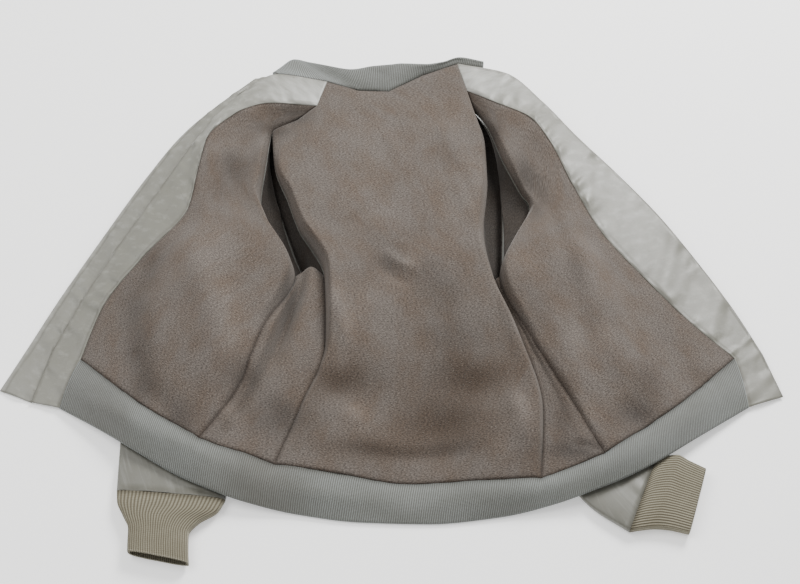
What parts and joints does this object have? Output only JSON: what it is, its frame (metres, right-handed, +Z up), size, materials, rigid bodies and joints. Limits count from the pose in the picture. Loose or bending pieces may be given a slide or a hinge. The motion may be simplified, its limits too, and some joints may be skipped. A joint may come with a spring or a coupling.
{
  "type": "tanker jacket",
  "caption": "Short zip-front jacket with a knitted collar, cuffs and waistband, laid open on its back with the wool lining up and the sleeves folded under.",
  "frame": {"origin": "middle of the underside of the jacket's box, on the surface it lies on", "axes": "+Y from waistband to collar, +Z up from the surface, +X to the wearer's left"},
  "size_m": [0.8516, 0.679, 0.053],
  "materials": {
    "lining": "thick heathered wool, brown-grey",
    "shell": "worn olive-grey cotton with a soft sheen",
    "knit": "fine ribbed knit, blue-grey-green",
    "cuff_knit": "coarse ribbed knit, khaki",
    "tape": "woven cotton tape"
  },
  "bodies": {
    "root": {"lining_back": "lining", "lining_side_right": "lining", "lining_side_left": "lining", "lining_front_right": "lining", "lining_front_left": "lining", "shell_back": "shell", "shell_side_right": "shell", "shell_side_left": "shell", "shell_front_right": "shell", "shell_front_left": "shell", "facing_right": "shell", "facing_left": "shell", "wind_flap": "shell", "sleeve_right": "shell", "sleeve_left": "shell", "waistband": "knit", "collar": "knit", "cuff_right": "cuff_knit", "cuff_left": "cuff_knit", "zip_tape_right": "tape", "zip_tape_left": "tape"}
  },
  "joints": []
}
